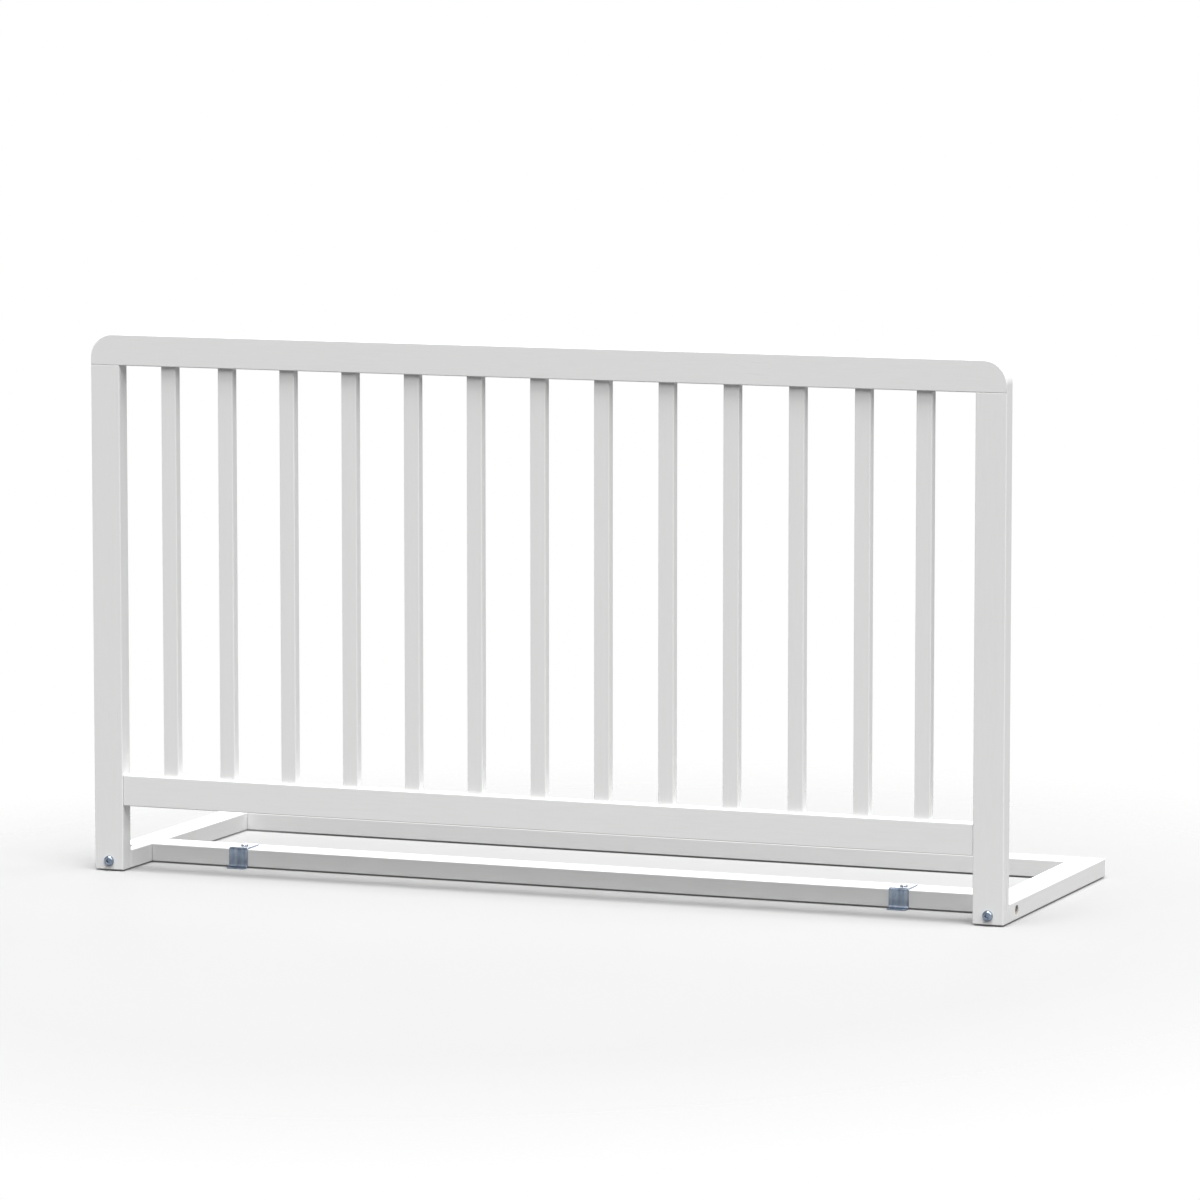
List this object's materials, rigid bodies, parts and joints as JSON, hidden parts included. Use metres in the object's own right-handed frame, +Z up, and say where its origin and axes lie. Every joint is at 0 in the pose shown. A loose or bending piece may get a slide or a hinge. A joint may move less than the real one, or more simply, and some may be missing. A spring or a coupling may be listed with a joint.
{
  "type": "folding bed guard rail",
  "caption": "White slatted timber bed guard: an upright panel with rounded top corners, hinged at its feet to a flat timber base frame that slides under the mattress.",
  "frame": {"origin": "middle of the footprint, on the level of the lowest faces, which are the undersides of the two clip lips", "axes": "+X along the guard to the right as seen from the room, +Y from the panel towards the mattress, +Z up"},
  "size_m": [1.02, 0.3516, 0.575],
  "materials": {
    "white_lacquer": "opaque white lacquer, satin",
    "zinc_plate": "blue zinc plate on steel",
    "bare_beech": "unfinished beech"
  },
  "bodies": {
    "base": {"left_arm": "white_lacquer", "left_clip": "zinc_plate", "left_clip_screw": "zinc_plate", "left_front_dowel_1": "bare_beech", "left_front_dowel_2": "bare_beech", "left_back_dowel_1": "bare_beech", "left_back_dowel_2": "bare_beech", "right_arm": "white_lacquer", "right_clip": "zinc_plate", "right_clip_screw": "zinc_plate", "right_front_dowel_1": "bare_beech", "right_front_dowel_2": "bare_beech", "right_back_dowel_1": "bare_beech", "right_back_dowel_2": "bare_beech", "front_base_rail": "white_lacquer", "back_base_rail": "white_lacquer"},
    "panel": {"top_rail": "white_lacquer", "bottom_rail": "white_lacquer", "left_post": "white_lacquer", "left_barrel_nut": "zinc_plate", "left_top_dowel_1": "bare_beech", "left_top_dowel_2": "bare_beech", "left_bottom_dowel_1": "bare_beech", "left_bottom_dowel_2": "bare_beech", "right_post": "white_lacquer", "right_barrel_nut": "zinc_plate", "right_top_dowel_1": "bare_beech", "right_top_dowel_2": "bare_beech", "right_bottom_dowel_1": "bare_beech", "right_bottom_dowel_2": "bare_beech", "slat_01": "white_lacquer", "slat_02": "white_lacquer", "slat_03": "white_lacquer", "slat_04": "white_lacquer", "slat_05": "white_lacquer", "slat_06": "white_lacquer", "slat_07": "white_lacquer", "slat_08": "white_lacquer", "slat_09": "white_lacquer", "slat_10": "white_lacquer", "slat_11": "white_lacquer", "slat_12": "white_lacquer", "slat_13": "white_lacquer"},
    "left_bolt": {"left_hinge_bolt": "zinc_plate"},
    "right_bolt": {"right_hinge_bolt": "zinc_plate"}
  },
  "joints": [
    {"name": "panel_fold", "type": "hinge", "parent": "base", "child": "panel", "pos_m": [0, -0.1277, 0.011], "axis": [-1, 0, 0], "range_deg": [0, 92.9]},
    {"name": "left_bolt_turn", "type": "hinge", "parent": "panel", "child": "left_bolt", "pos_m": [-0.4935, -0.1722, 0.011], "axis": [0, -1, 0], "range_deg": [0, 720]},
    {"name": "right_bolt_turn", "type": "hinge", "parent": "panel", "child": "right_bolt", "pos_m": [0.4935, -0.1722, 0.011], "axis": [0, -1, 0], "range_deg": [0, 720]}
  ]
}
